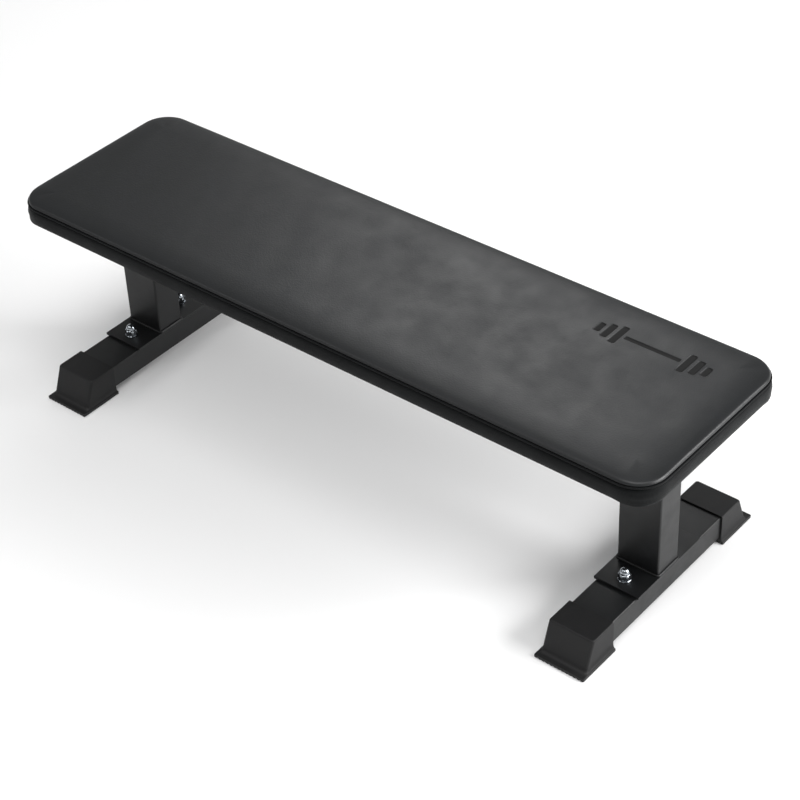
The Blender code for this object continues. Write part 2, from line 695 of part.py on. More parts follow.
def build_boots():
    slack = 2 * GAP
    pocket_size = (FOOT_WIDTH + slack, BOOT_COVERS + GAP + CUT_OVER, FOOT_HEIGHT + slack)
    pocket_middle = pocket_size[1] / 2 - GAP
    for side, way_x in SIDES.items():
        for end, way_y in ENDS.items():
            name = f"{side}_{end}_boot"
            place = (way_x * FOOT_X, way_y * FOOT_LENGTH / 2, 0)
            turn = 0.0 if way_y < 0 else math.pi
            boot = add_part(name, boot_mesh(), RUBBER, place, turn)
            pocket_data = finish(box(pocket_size), "pocket")
            deep = way_y * (FOOT_LENGTH / 2 - pocket_middle)
            pocket = add_cutter(f"{name}_pocket", pocket_data, (place[0], deep, SOLE_THICK - GAP))
            tread = add_cutter(f"{name}_tread", tread_mesh(), place)
            tread.rotation_euler.z = turn
            combine(boot, pocket)
            combine(boot, tread)


build_foam()
build_top_panel()
build_welt()
build_side_band()
build_board()
build_dust_cover()
build_pad_fasteners()
build_brackets()
build_rail()
build_posts()
build_feet()
build_foot_fasteners()
build_boots()
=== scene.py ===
# %% [markdown]
# A flat weight bench, piece by piece.
# The steel frame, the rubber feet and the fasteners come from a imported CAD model. This lesson
# loads that model as a fixed frame, gives the metal its paint, and makes the upholstery, the
# welds, the staples and the bolts again with the detail that the plain solids leave out.

# %% Load the frame
import math

import bmesh
import bpy
from mathutils import Matrix, Vector, noise


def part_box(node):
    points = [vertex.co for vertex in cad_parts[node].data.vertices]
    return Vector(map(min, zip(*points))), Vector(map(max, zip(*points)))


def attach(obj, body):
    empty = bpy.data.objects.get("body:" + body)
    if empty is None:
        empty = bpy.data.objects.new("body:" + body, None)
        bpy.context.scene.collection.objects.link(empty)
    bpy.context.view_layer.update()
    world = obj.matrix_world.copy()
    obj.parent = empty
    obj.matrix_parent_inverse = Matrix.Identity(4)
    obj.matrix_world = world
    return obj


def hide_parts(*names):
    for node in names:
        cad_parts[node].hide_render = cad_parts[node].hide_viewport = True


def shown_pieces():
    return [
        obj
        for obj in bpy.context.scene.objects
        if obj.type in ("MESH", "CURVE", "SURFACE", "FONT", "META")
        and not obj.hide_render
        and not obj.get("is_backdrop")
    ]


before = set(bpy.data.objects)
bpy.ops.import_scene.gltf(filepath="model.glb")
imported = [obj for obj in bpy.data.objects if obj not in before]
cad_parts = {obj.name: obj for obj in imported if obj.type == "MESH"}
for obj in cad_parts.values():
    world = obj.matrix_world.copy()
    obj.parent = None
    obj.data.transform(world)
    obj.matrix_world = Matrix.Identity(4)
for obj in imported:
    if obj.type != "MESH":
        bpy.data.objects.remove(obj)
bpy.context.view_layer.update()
print("CAD nodes:", len(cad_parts))

# %% [markdown]
# A few helpers carry the whole lesson. Colours are written as the sRGB hex values of a paint
# chart, and one function turns them into the linear numbers that the renderer works with.
# Another adds one node, shader or geometry, with its settings and its links, so that a material
# reads as a short list of what feeds what. The last three start a surface, let one pattern move
# its tone and its gloss together, and link the result to the shader.

# %% Colours and nodes
def linear(hex_colour):
    """An sRGB colour such as #1c1d1e as linear red, green, blue and alpha."""
    channels = [int(hex_colour[place:place + 2], 16) / 255 for place in (1, 3, 5)]
    curve = [c / 12.92 if c <= 0.04045 else ((c + 0.055) / 1.055) ** 2.4 for c in channels]
    return (*curve, 1.0)


def add(tree, kind, sockets=None, **settings):
    """Adds a node. sockets gives an input, by name or number, a value or a node's output."""
    node = tree.nodes.new(kind)
    for name, value in settings.items():
        setattr(node, name, value)
    for key, value in (sockets or {}).items():
        if isinstance(value, bpy.types.NodeSocket):
            tree.links.new(value, node.inputs[key])
        else:
            node.inputs[key].default_value = value
    return node


def new_surface(name, **sockets):
    """A material with its tree, its shader and the place of a point on the piece, in metres.

    The values that are the same all over are set on the shader itself.
    """
    material = bpy.data.materials.new(name)
    material.use_nodes = True
    shader = material.node_tree.nodes["Principled BSDF"]
    for key, value in sockets.items():
        shader.inputs[key.replace("_", " ")].default_value = value
    place = add(material.node_tree, "ShaderNodeTexCoord").outputs["Object"]
    return material, material.node_tree, shader, place


def vary(tree, pattern, colours, roughness, spread=(0.0, 1.0)):
    """A tone and a roughness that follow a pattern, whose values are taken over this spread."""
    tone = add(tree, "ShaderNodeMix", {
        0: pattern, 6: linear(colours[0]), 7: linear(colours[1]),
    }, data_type="RGBA").outputs[2]
    gloss = add(tree, "ShaderNodeMapRange", {
        "Value": pattern, "From Min": spread[0], "From Max": spread[1],
        "To Min": roughness[0], "To Max": roughness[1],
    }).outputs[0]
    return tone, gloss


def feed(shader, tone, gloss, bumps=None, strength=1.0, depth=0.0):
    """Links tone and gloss to the shader, and bumps that are depth high, in metres, if any."""
    tree = shader.id_data
    tree.links.new(tone, shader.inputs["Base Color"])
    tree.links.new(gloss, shader.inputs["Roughness"])
    if bumps is not None:
        relief = add(tree, "ShaderNodeBump", {
            "Height": bumps, "Strength": strength, "Distance": depth,
        }).outputs[0]
        tree.links.new(relief, shader.inputs["Normal"])


print("black paint in linear light:", [round(c, 4) for c in linear("#1c1d1e")])

# %% [markdown]
# The cover's top is PVC leatherette: a knitted cloth coated with soft vinyl, whose skin is
# embossed by a heated roller with a shallow hide grain. It is nearly black, it gives a wide
# dull sheen, and handling leaves it a little uneven. Real grain cells are about 1 mm across,
# too fine to show from a few metres, so they are drawn at 2.6 mm.

# %% Leatherette
GRAIN_SIZE = 0.0026
MOTTLE_SIZE = 0.055
leatherette, tree, shader, place = new_surface(
    "pvc_leatherette_roller_embossed", IOR=1.5, Specular_IOR_Level=0.42
)
mottle = add(tree, "ShaderNodeTexNoise", {
    "Vector": place, "Scale": 1 / MOTTLE_SIZE, "Detail": 4.0, "Roughness": 0.6,
}).outputs["Fac"]
grain = add(tree, "ShaderNodeTexVoronoi", {
    "Vector": place, "Scale": 1 / GRAIN_SIZE, "Smoothness": 0.6,
}, feature="SMOOTH_F1").outputs["Distance"]
pressed = add(tree, "ShaderNodeAttribute", attribute_name="pressed").outputs["Fac"]
tone, gloss = vary(tree, mottle, ("#15171a", "#202121"), (0.45, 0.35), (0.3, 0.7))
tone = add(tree, "ShaderNodeMix", {
    0: pressed, 6: tone, 7: linear("#0c0c0c"),
}, data_type="RGBA").outputs[2]
gloss = add(tree, "ShaderNodeMix", {0: pressed, 2: gloss, 3: 0.85}).outputs[0]
feed(shader, tone, gloss, grain, 0.22, 0.0004)
print(leatherette.name, "grain drawn at", GRAIN_SIZE * 1000, "mm")

# %% [markdown]
# The side band and the piping are a second vinyl, embossed with a small diamond lattice like
# woven carbon cloth, so that scuffs don't show on the edge. The lattice follows the strip
# round the pad, so it reads the strip's own UV map, whose units are metres along and across.
# Two families of stripes, one leaning each way, cross to make the diamonds.

# %% Band vinyl
DIAMOND_PITCH = 0.0036
WEAR_SIZE = 0.030
band_vinyl, tree, shader, place = new_surface(
    "pvc_vinyl_diamond_embossed", IOR=1.5, Specular_IOR_Level=0.1
)
strip = add(tree, "ShaderNodeUVMap", uv_map="strip").outputs["UV"]
along = add(tree, "ShaderNodeSeparateXYZ", {"Vector": strip})
stripes = []
for lean in (1.0, -1.0):
    phase = add(tree, "ShaderNodeMath", {
        0: along.outputs["Y"], 1: lean, 2: along.outputs["X"],
    }, operation="MULTIPLY_ADD").outputs[0]
    turns = add(tree, "ShaderNodeMath", {0: phase, 1: 2 * math.pi / DIAMOND_PITCH},
                operation="MULTIPLY").outputs[0]
    stripes.append(add(tree, "ShaderNodeMath", {0: turns}, operation="SINE").outputs[0])
lattice = add(tree, "ShaderNodeMath", {0: stripes[0], 1: stripes[1]}, operation="MULTIPLY")
wear = add(tree, "ShaderNodeTexNoise", {
    "Vector": place, "Scale": 1 / WEAR_SIZE, "Detail": 3.0,
}).outputs["Fac"]
tone, gloss = vary(tree, wear, ("#08090a", "#0e1011"), (0.56, 0.44))
feed(shader, tone, gloss, lattice.outputs[0], 0.5, 0.0003)
print(band_vinyl.name, "lattice", DIAMOND_PITCH * 1000, "mm")

# %% [markdown]
# The frame is mild steel tube with a polyester powder coat. The powder is sprayed on dry and
# baked, which leaves a satin black skin with a fine orange peel. The peel's bumps are near
# 1 mm, drawn at 1.8 mm. Paint is a dielectric, so its metallic value stays at zero.

# %% Powder coat
PEEL_SIZE = 0.0018
DUST_SIZE = 0.040
powder_coat, tree, shader, place = new_surface(
    "mild_steel_powder_coated_satin_black", IOR=1.5, Specular_IOR_Level=0.4
)
peel = add(tree, "ShaderNodeTexNoise", {
    "Vector": place, "Scale": 1 / PEEL_SIZE, "Detail": 2.0,
}).outputs["Fac"]
dust = add(tree, "ShaderNodeTexNoise", {
    "Vector": place, "Scale": 1 / DUST_SIZE, "Detail": 5.0, "Roughness": 0.65,
}).outputs["Fac"]
tone, gloss = vary(tree, dust, ("#0c0d0e", "#131415"), (0.38, 0.50), (0.3, 0.7))
feed(shader, tone, gloss, peel, 0.25, 0.0003)
print(powder_coat.name, "peel drawn at", PEEL_SIZE * 1000, "mm")

# %% [markdown]
# The boots are compression-moulded rubber with carbon black in it: matt, a shade browner than
# the paint, and with a slightly sandy skin from the blasted mould, whose grit is drawn several
# times coarser than it is. Rubber near the floor picks up a grey film of dust, so the colour
# lifts a little over the lowest 14 mm.

# %% Rubber
SAND_SIZE = 0.0016
CLOUD_SIZE = 0.018
FILM_HEIGHT = 0.014
rubber, tree, shader, place = new_surface(
    "moulded_black_rubber", IOR=1.52, Specular_IOR_Level=0.35
)
height = add(tree, "ShaderNodeSeparateXYZ", {"Vector": place}).outputs["Z"]
sand = add(tree, "ShaderNodeTexNoise", {
    "Vector": place, "Scale": 1 / SAND_SIZE, "Detail": 3.0,
}).outputs["Fac"]
cloud = add(tree, "ShaderNodeTexNoise", {
    "Vector": place, "Scale": 1 / CLOUD_SIZE, "Detail": 4.0,
}).outputs["Fac"]
film = add(tree, "ShaderNodeMapRange", {
    "Value": height, "From Min": FILM_HEIGHT, "From Max": 0.0, "To Min": 0.0, "To Max": 0.5,
}).outputs["Result"]
tone, gloss = vary(tree, cloud, ("#0a0a0b", "#111112"), (0.50, 0.64))
tone = add(tree, "ShaderNodeMix", {
    0: film, 6: tone, 7: linear("#181818"),
}, data_type="RGBA").outputs[2]
feed(shader, tone, gloss, sand, 0.3, 0.0003)
print(rubber.name, "made")

# %% [markdown]
# Nuts, washers, bolts and staples are steel with a bright zinc plate, barrel-plated and dipped
# in a clear blue passivate. A metal's colour is its reflection colour, so the base is a pale
# blue-grey, metallic is one and the IOR keeps its default. Tumbling in the barrel leaves cloudy
# patches in tone and gloss, and soft scratches, drawn wider than they are with a faint bump.

# %% Zinc plate
PATCH_SIZE = 0.004
SCRATCH_SIZE = 0.0009
zinc, tree, shader, place = new_surface("zinc_plated_steel_blue_passivate", Metallic=1.0)
cloud = add(tree, "ShaderNodeTexNoise", {
    "Vector": place, "Scale": 1 / PATCH_SIZE, "Detail": 5.0, "Roughness": 0.7,
}).outputs["Fac"]
tone, gloss = vary(tree, cloud, ("#9da3a9", "#b9bec3"), (0.15, 0.24), (0.3, 0.7))
scratches = add(tree, "ShaderNodeTexNoise", {
    "Vector": place, "Scale": 1 / SCRATCH_SIZE, "Detail": 2.0,
}).outputs["Fac"]
feed(shader, tone, gloss, scratches, 0.04, 0.0001)
print(zinc.name, "made")

# %% [markdown]
# Three hidden finishes remain. The board is birch plywood, peeled from the log and glued in
# crossed layers. The cloth under the pad is spun-bonded polypropylene, a felt of melted
# threads. The plugs in the rail's ends are injection-moulded polyethylene with a spark-eroded
# texture. Each is seen only from below, and still gets its own grain. The fibres and the spark
# pits are drawn coarser than they are, because at their true size they wouldn't show.

# %% Plywood, dust cloth and plastic
plywood, tree, shader, place = new_surface("birch_plywood_rotary_cut", IOR=1.5)
stretch = add(tree, "ShaderNodeMapping", {"Vector": place, "Scale": (3.0, 60.0, 700.0)})
figure = add(tree, "ShaderNodeTexNoise", {
    "Vector": stretch.outputs["Vector"], "Scale": 1.0, "Detail": 6.0, "Roughness": 0.6,
}).outputs["Fac"]
feed(shader, *vary(tree, figure, ("#b08a5c", "#dcc096"), (0.6, 0.8)))

FIBRE_SIZE = 0.0012
dust_cloth, tree, shader, place = new_surface(
    "polypropylene_spun_bonded_cloth", IOR=1.49, Specular_IOR_Level=0.25
)
fibres = add(tree, "ShaderNodeTexNoise", {
    "Vector": place, "Scale": 1 / FIBRE_SIZE, "Detail": 4.0, "Distortion": 2.5,
}).outputs["Fac"]
tone, gloss = vary(tree, fibres, ("#0e0f10", "#232425"), (0.95, 0.75))
feed(shader, tone, gloss, fibres, 0.6, 0.0003)

SPARK_SIZE = 0.0008
cap_plastic, tree, shader, place = new_surface(
    "moulded_polyethylene_textured", IOR=1.51, Specular_IOR_Level=0.4
)
spark = add(tree, "ShaderNodeTexNoise", {
    "Vector": place, "Scale": 1 / SPARK_SIZE, "Detail": 2.0,
}).outputs["Fac"]
tone, gloss = vary(tree, spark, ("#141516", "#1d1e1f"), (0.45, 0.65))
feed(shader, tone, gloss, spark, 0.3, 0.0002)
print("materials:", len(bpy.data.materials))

# %% [markdown]
# Every piece ends the same way: its material on, its faces smooth except across sharp edges,
# its body named, and the CAD nodes that it stands for hidden. Smoothing by angle keeps a tube's
# rounded corners soft and its sawn ends crisp.

# %% Finishing a piece
SHARP_ANGLE = math.radians(38)


def keep_mesh(name, mesh):
    piece = bpy.data.objects.new(name, mesh)
    bpy.context.scene.collection.objects.link(piece)
    return piece


def piece_from(name, shape, turn_out=False):
    """Makes a shape a piece in the scene, with its faces turned outwards first if asked."""
    if turn_out:
        bmesh.ops.recalc_face_normals(shape, faces=shape.faces)
    mesh = bpy.data.meshes.new(name)
    shape.to_mesh(mesh)
    shape.free()
    return keep_mesh(name, mesh)


def applied(piece):
    """Makes what the modifiers give the piece's own mesh."""
    shaped = piece.evaluated_get(bpy.context.evaluated_depsgraph_get())
    mesh = bpy.data.meshes.new_from_object(shaped)
    piece.modifiers.clear()
    piece.data = mesh


def finish_piece(piece, material, slot, *nodes, flat_faces=False):
    """Gives a finished mesh its look, its body and the CAD nodes that it stands for."""
    piece.data.materials.clear()
    piece.data.materials.append(material)
    for polygon in piece.data.polygons:
        polygon.material_index = 0
    piece.data.shade_smooth()
    piece.data.set_sharp_from_angle(angle=SHARP_ANGLE)
    if flat_faces:
        even = piece.modifiers.new("flat_faces_stay_flat", "WEIGHTED_NORMAL")
        even.keep_sharp = True
        applied(piece)
    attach(piece, "root")
    if nodes:
        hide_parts(*nodes)
    print(piece.name, "with", len(piece.data.polygons), "faces")


# %% [markdown]
# The pad's outline is a rectangle with quarter-circle corners. Pulled in by any distance up to
# the corner radius it keeps the same number of points in the same order, so two outlines can
# always be joined with a ring of quads. At exactly the corner radius the arcs shrink to
# corners, and a plain grid fills the rest of the top. This gives clean even faces all over,
# which a cloth simulation needs and which a cut-up box doesn't have.

# %% The pad's outline
band_low, band_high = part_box("cover_side_band")
HALF_LENGTH, HALF_WIDTH = band_high.x, band_high.y
PAD_CORNER = 0.048
CELLS_LONG, CELLS_WIDE, CORNER_STEPS = 180, 40, 12
CORE_LONG, CORE_WIDE = HALF_LENGTH - PAD_CORNER, HALF_WIDTH - PAD_CORNER
SAME_POINT = 1e-5           # points closer than this are merged


def on_arc(middle, radius, degrees):
    turn = math.radians(degrees)
    return middle + radius * Vector((math.cos(turn), math.sin(turn)))


def outline(inset):
    """The pad's outline pulled in by inset, anticlockwise from the front edge's left end."""
    radius = PAD_CORNER - inset
    corners = [(1, -1, -90, CELLS_LONG), (1, 1, 0, CELLS_WIDE),
               (-1, 1, 90, CELLS_LONG), (-1, -1, 180, CELLS_WIDE)]
    points = []
    last = Vector((-CORE_LONG, -CORE_WIDE - radius))
    for side_x, side_y, first, cells in corners:
        middle = Vector((side_x * CORE_LONG, side_y * CORE_WIDE))
        start = on_arc(middle, radius, first)
        points += [last.lerp(start, step / cells) for step in range(cells)]
        points += [on_arc(middle, radius, first + 90 * step / CORNER_STEPS)
                   for step in range(CORNER_STEPS)]
        last = on_arc(middle, radius, first + 90)
    return points


def ring_of(shape, inset, z):
    return [shape.verts.new((*point, z)) for point in outline(inset)]


def join_rings(shape, rings):
    """Joins each ring of points to the next with quads."""
    for lower, upper in zip(rings, rings[1:]):
        for i in range(len(lower)):
            j = (i + 1) % len(lower)
            shape.faces.new((lower[i], lower[j], upper[j], upper[i]))


def cover_over(shape, section):
    """A ring for each inset and height of a section, and a plain grid across the last one."""
    join_rings(shape, [ring_of(shape, inset, z) for inset, z in section])
    grid = [[shape.verts.new((-CORE_LONG + 2 * CORE_LONG * i / CELLS_LONG,
                              -CORE_WIDE + 2 * CORE_WIDE * j / CELLS_WIDE, section[-1][1]))
             for j in range(CELLS_WIDE + 1)] for i in range(CELLS_LONG + 1)]
    for i in range(CELLS_LONG):
        for j in range(CELLS_WIDE):
            shape.faces.new((grid[i][j], grid[i + 1][j], grid[i + 1][j + 1], grid[i][j + 1]))
    bmesh.ops.remove_doubles(shape, verts=shape.verts, dist=SAME_POINT)


def eased(value):
    """A value held between 0 and 1, with a soft start and a soft end."""
    share = min(max(value, 0.0), 1.0)
    return share * share * (3 - 2 * share)


print("outline points:", len(outline(0.0)), "pad", round(2 * HALF_LENGTH, 3), "x",
      round(2 * HALF_WIDTH, 3))

# %% [markdown]
# The cushion is a slab of firm foam under the leatherette. The top panel rolls over the rim,
# dips into the seam below it, and is drawn tight over the middle. The section below is read
# from the foam's bottom upwards: how far in from the side, and how high. It starts a little
# flatter than the finished pad, because the simulation swells it.

# %% The cushion before it swells
RIM_TOP = 0.337
FOAM_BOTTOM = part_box("pad_foam")[0].z
SEAM_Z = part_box("cover_top_panel")[0].z
section = [
    (0.0042, FOAM_BOTTOM), (0.0042, SEAM_Z - 0.0080), (0.0042, SEAM_Z - 0.0030),
    (0.0040, SEAM_Z - 0.0010), (0.0034, SEAM_Z - 0.0001), (0.0025, SEAM_Z + 0.0003),
    (0.0018, SEAM_Z + 0.0008), (0.0014, SEAM_Z + 0.0016), (0.0016, RIM_TOP - 0.0035),
    (0.0021, RIM_TOP - 0.0023), (0.0028, RIM_TOP - 0.0012), (0.0038, RIM_TOP - 0.0004),
    (0.0051, RIM_TOP + 0.0000), (0.0072, RIM_TOP + 0.0003), (0.0102, RIM_TOP + 0.0006),
    (0.0145, RIM_TOP + 0.0009), (0.0215, RIM_TOP + 0.0013), (0.0310, RIM_TOP + 0.0018),
    (0.0400, RIM_TOP + 0.0021), (PAD_CORNER, RIM_TOP + 0.0022),
]
shape = bmesh.new()
cover_over(shape, section)
cushion = piece_from("pad_cushion", shape, turn_out=True)
print("cushion cells:", len(cushion.data.polygons))

# %% [markdown]
# Cloth pulled over foam isn't flat: it stands a few millimetres above the rim and falls off
# towards the seams, most of all at the corners. The swelling is a cloth simulation with air
# pressure inside and no gravity, held fast from the seam down. Foam stops the skin from
# ballooning, so no point may move further than CROWN_RISE.

# %% Swell the cushion
CROWN_RISE = 0.0013
PRESSURE = 4.0
SIM_FRAMES = 20
EVENING_PASSES = 6          # the foam evens out the smallest puckers


def swell(piece, held_below, pressure, frames, most):
    before = [vertex.co.copy() for vertex in piece.data.vertices]
    held = [vertex.index for vertex in piece.data.vertices if vertex.co.z < held_below]
    group = piece.vertex_groups.new(name="sewn_down")
    group.add(held, 1.0, "ADD")
    cloth = piece.modifiers.new("air", "CLOTH")
    cloth.settings.vertex_group_mass = group.name
    cloth.settings.quality = 6
    cloth.settings.mass = 0.35
    cloth.settings.use_pressure = True
    cloth.settings.uniform_pressure_force = pressure
    cloth.settings.effector_weights.gravity = 0
    cloth.point_cache.frame_start = 1
    cloth.point_cache.frame_end = frames
    scene = bpy.context.scene
    for number in range(1, frames + 1):
        scene.frame_set(number)
    shaped = piece.evaluated_get(bpy.context.evaluated_depsgraph_get())
    after = [vertex.co.copy() for vertex in shaped.data.vertices]
    piece.modifiers.clear()
    piece.vertex_groups.clear()
    scene.frame_set(1)
    moves = [end - start for start, end in zip(before, after)]
    print("cloth moved up to", round(max(move.length for move in moves) * 1000, 2), "mm")
    # A soft limit: small moves pass whole, large ones come up against the foam.
    moves = [move * (most * math.tanh(move.length / most) / max(move.length, 1e-9))
             for move in moves]
    neighbours = [[] for _ in moves]
    for edge in piece.data.edges:
        first, second = edge.vertices
        neighbours[first].append(second)
        neighbours[second].append(first)
    for _ in range(EVENING_PASSES):
        moves = [(move + sum((moves[other] for other in near), Vector())) / (len(near) + 1)
                 for move, near in zip(moves, neighbours)]
    for vertex, start, move in zip(piece.data.vertices, before, moves):
        vertex.co = start + move


def from_edge(point):
    """How far in from the pad's nearest side a point lies."""
    return min(HALF_LENGTH - abs(point.x), HALF_WIDTH - abs(point.y))


swell(cushion, SEAM_Z + 0.0012, PRESSURE, SIM_FRAMES, CROWN_RISE)
finer = cushion.modifiers.new("finer", "SUBSURF")
finer.levels = finer.render_levels = 1
applied(cushion)
print("cushion top at", round(max(vertex.co.z for vertex in cushion.data.vertices), 4), "m")

# %% [markdown]
# Two things happen to the finished skin. Stretching leaves long soft creases that run across
# the pad and lean a little, a fraction of a millimetre deep; smooth noise, squeezed along the
# pad, gives them. A pressed mark sits near the right end: a hot tool sinks a pattern about a
# millimetre into vinyl and foam and darkens it. The mark here is a plain dumbbell sign of my
# own drawing. The faces under it are cut finer first, so that its walls are real geometry.

# %% Creases and the pressed dumbbell sign
MARK_CENTRE = Vector((0.425, 0.088))
MARK_DEPTH = 0.0013
MARK_WALL = 0.0009
MARK_REACH = Vector((0.108, 0.030))
CREASE_LEAN = 0.45
EDGE_FADE = 0.03            # the creases fade out towards the pad's edge
creases = [  # size along the pad, size across it, depth, and which layer of the noise
    (0.085, 0.30, 0.00034, 1.7), (0.030, 0.11, 0.00014, 9.2),
]
mark_bars = [  # middle along, middle across, half length, half width, corner radius
    (0.0, 0.0, 0.046, 0.0036, 0.002),
    (-0.056, 0.0, 0.0055, 0.0215, 0.003), (0.056, 0.0, 0.0055, 0.0215, 0.003),
    (-0.0725, 0.0, 0.0055, 0.0165, 0.003), (0.0725, 0.0, 0.0055, 0.0165, 0.003),
    (-0.0880, 0.0, 0.0050, 0.0105, 0.003), (0.0880, 0.0, 0.0050, 0.0105, 0.003),
]


def mark_share(x, y):
    """1 inside a bar of the sign, 0 outside, with a narrow slope between."""
    nearest = 1.0
    for middle_x, middle_y, half_x, half_y, radius in mark_bars:
        away_x = abs(x - MARK_CENTRE.x - middle_x) - half_x + radius
        away_y = abs(y - MARK_CENTRE.y - middle_y) - half_y + radius
        away = math.hypot(max(away_x, 0), max(away_y, 0)) + min(max(away_x, away_y), 0) - radius
        nearest = min(nearest, away)
    return eased(0.5 - nearest / MARK_WALL)


def near_mark(vertex):
    return (vertex.co.z > RIM_TOP and abs(vertex.co.x - MARK_CENTRE.x) < MARK_REACH.x
            and abs(vertex.co.y - MARK_CENTRE.y) < MARK_REACH.y)


def crease(x, y):
    lean = x + CREASE_LEAN * y
    return sum(depth * noise.noise(Vector((lean / narrow, y / long, layer)))
               for narrow, long, depth, layer in creases)


shape = bmesh.new()
shape.from_mesh(cushion.data)
patch = [edge for edge in shape.edges if all(near_mark(vertex) for vertex in edge.verts)]
bmesh.ops.subdivide_edges(shape, edges=patch, cuts=3, use_grid_fill=True)
sunk = shape.verts.layers.float.new("pressed")
for vertex in shape.verts:
    x, y, z = vertex.co
    if z > SEAM_Z + 0.002:
        vertex.co.z += crease(x, y) * min(from_edge(vertex.co) / EDGE_FADE + 0.15, 1.0)
        vertex[sunk] = mark_share(x, y) if near_mark(vertex) else 0.0
        vertex.co.z -= MARK_DEPTH * vertex[sunk]
bmesh.ops.holes_fill(shape, edges=[edge for edge in shape.edges if edge.is_boundary], sides=0)
shape.to_mesh(cushion.data)
shape.free()
finish_piece(cushion, leatherette, "leatherette", "cover_top_panel", "pad_foam")

# %% [markdown]
# The side band is one long strip, sewn to the piping, pulled down over the edge of the foam and
# the board, and turned in underneath, where it is stapled. It bulges a little over the foam, is
# drawn in at the board's lower edge, and bunches into small pleats at the rounded corners,
# where the turned-in edge is too long. The ring is built as a sheet with its own UV map, and a
# Solidify gives it the thickness of the vinyl.

# %% The side band
BAND_SHEET = 0.0010
BAND_TOP = band_high.z
BAND_BOTTOM = band_low.z
BAND_RUN = BAND_TOP - BAND_BOTTOM
HEM_TURN = BAND_RUN + 0.0015       # how far down the strip it turns in under the board
SIDE_FROM, SIDE_TO = 0.003, 0.026  # the part of the strip that shows from the side
WRINKLE_DEPTH = 0.00035            # round a corner, one wrinkle below the other
WRINKLE_STEP = 0.0052
SLACK_DEPTH = 0.00030              # slow waves all along, this big in points of the outline
SLACK_POINTS, SLACK_DROP = 7.0, 0.012  # and in metres down the strip
BUNCH_BEAT, PLEAT_BEAT = 1.3, 2.6  # turn in radians from one point to the next
BUNCH_REACH = 0.0040               # the hem bunches this far either side of its turn,
BUNCH_OUT = 0.0006                 # stands out by this much
BUNCH_DOWN = 0.0029                # and hangs down by this much
PLEATS_FROM = 0.030                # on the turned-in part there are small pleats
PLEAT_DEPTH = 0.00025
band_section = [
    (0.0040, BAND_TOP + 0.0002), (0.0028, BAND_TOP - 0.0004), (0.0014, BAND_TOP - 0.0012),
    (0.0005, BAND_TOP - 0.0026), (-0.0003, BAND_TOP - 0.18 * BAND_RUN),
    (-0.0008, BAND_TOP - 0.33 * BAND_RUN), (-0.0010, BAND_TOP - 0.48 * BAND_RUN),
    (-0.0009, BAND_TOP - 0.62 * BAND_RUN), (-0.0004, BAND_TOP - 0.76 * BAND_RUN),
    (0.0003, BAND_TOP - 0.88 * BAND_RUN), (0.0009, BAND_TOP - 0.95 * BAND_RUN),
    (0.0020, BAND_BOTTOM + 0.0003), (0.0036, BAND_BOTTOM), (0.0100, BAND_BOTTOM),
    (0.0180, BAND_BOTTOM), (0.0300, BAND_BOTTOM),
]


def corner_share(index):
    """How far round one of the pad's corners a point of the outline is, 0 on the straights."""
    count = 0
    for cells in (CELLS_LONG, CELLS_WIDE, CELLS_LONG, CELLS_WIDE):
        count += cells
        if count <= index < count + CORNER_STEPS:
            return math.sin(math.pi * (index - count + 0.5) / CORNER_STEPS)
        count += CORNER_STEPS
    return 0.0


def strip_ring(shape, inset, z, drop):
    """One ring of the band, with its wrinkles. drop is how far down the strip it lies."""
    ring = []
    for index, point in enumerate(outline(max(inset, -0.002))):
        around = corner_share(index)
        outward = Vector((point.x - max(min(point.x, CORE_LONG), -CORE_LONG),
                          point.y - max(min(point.y, CORE_WIDE), -CORE_WIDE)))
        outward = outward.normalized() if outward.length > 1e-6 else Vector((0, 0))
        wave = WRINKLE_DEPTH * around * math.sin(drop / WRINKLE_STEP * 2 * math.pi + 3 * around)
        slack = SLACK_DEPTH * noise.noise(Vector((index / SLACK_POINTS, drop / SLACK_DROP, 4.4)))
        shift = wave + slack if SIDE_FROM < drop < SIDE_TO else 0.0
        bunch = around * math.exp(-((drop - HEM_TURN) / BUNCH_REACH) ** 2)
        shift += BUNCH_OUT * bunch * (1 + 0.5 * math.sin(BUNCH_BEAT * index))
        pleat = -BUNCH_DOWN * bunch
        if drop > PLEATS_FROM:
            pleat += PLEAT_DEPTH * around * math.sin(index * PLEAT_BEAT)
        ring.append(shape.verts.new((*(point + outward * shift), z + pleat)))
    return ring


drops = [0.0]
for (inset_a, z_a), (inset_b, z_b) in zip(band_section, band_section[1:]):
    drops.append(drops[-1] + math.hypot(inset_b - inset_a, z_b - z_a))
shape = bmesh.new()
rings = [strip_ring(shape, inset, z, drop) for (inset, z), drop in zip(band_section, drops)]
lengths = [0.0]
around = outline(0.0)
for first, second in zip(around, around[1:] + around[:1]):
    lengths.append(lengths[-1] + (second - first).length)
strip_map = shape.loops.layers.uv.new("strip")
count = len(around)
for level in range(len(rings) - 1):
    for i in range(count):
        j = (i + 1) % count
        face = shape.faces.new((rings[level + 1][i], rings[level + 1][j],
                                rings[level][j], rings[level][i]))
        spots = [(lengths[i], drops[level + 1]), (lengths[i + 1], drops[level + 1]),
                 (lengths[i + 1], drops[level]), (lengths[i], drops[level])]
        for loop, spot in zip(face.loops, spots):
            loop[strip_map].uv = spot
band = piece_from("side_band", shape)
wall = band.modifiers.new("vinyl", "SOLIDIFY")
wall.thickness = BAND_SHEET
wall.offset = -1
wall.use_even_offset = True
applied(band)
finish_piece(band, band_vinyl, "band_vinyl", "cover_side_band")
print("band: a strip", round(lengths[-1], 3), "m long and", round(drops[-1], 3), "m wide")

